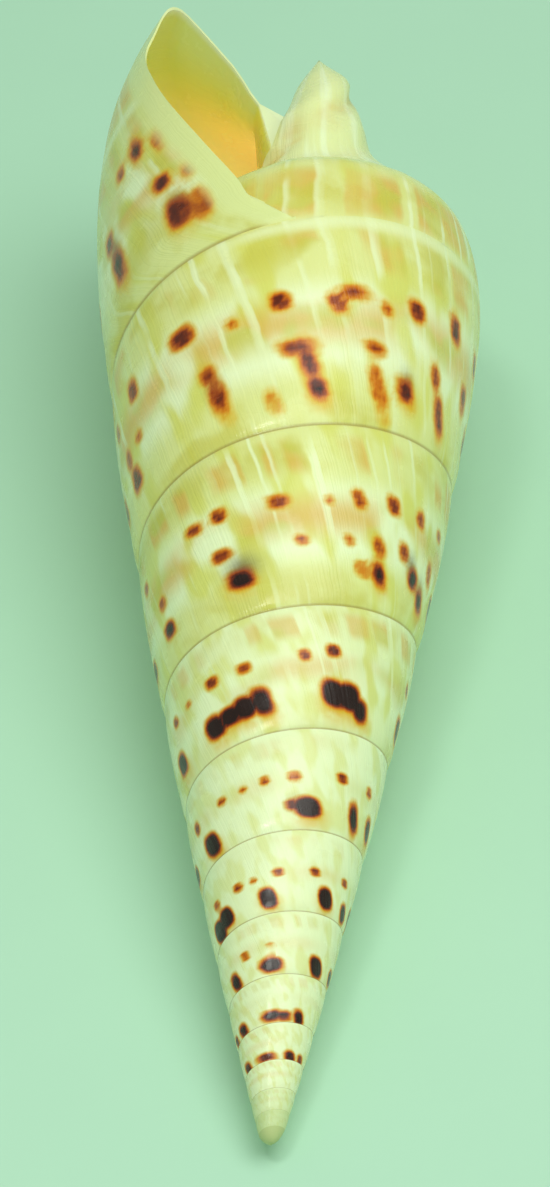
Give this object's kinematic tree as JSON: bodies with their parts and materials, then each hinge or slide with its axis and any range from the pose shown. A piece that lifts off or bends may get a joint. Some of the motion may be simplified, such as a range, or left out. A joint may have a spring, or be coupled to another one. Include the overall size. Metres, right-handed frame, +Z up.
{
  "type": "auger shell",
  "caption": "Slender high-spired right-handed sea-snail shell lying on its side, with flat-sided spotted whorls, an open aperture, a siphonal notch and a twisted columella.",
  "frame": {"origin": "on the surface that the shell lies on, under the middle of its outline", "axes": "+Y along the shell from its apex to its base, +Z up, with the end of the suture and the aperture on top"},
  "size_m": [0.0464, 0.155, 0.0458],
  "materials": {
    "shell": "glossy porcelain-like shell, cream to white with yellow patches and dark brown spots"
  },
  "bodies": {
    "root": {"shell": "shell"}
  },
  "joints": []
}
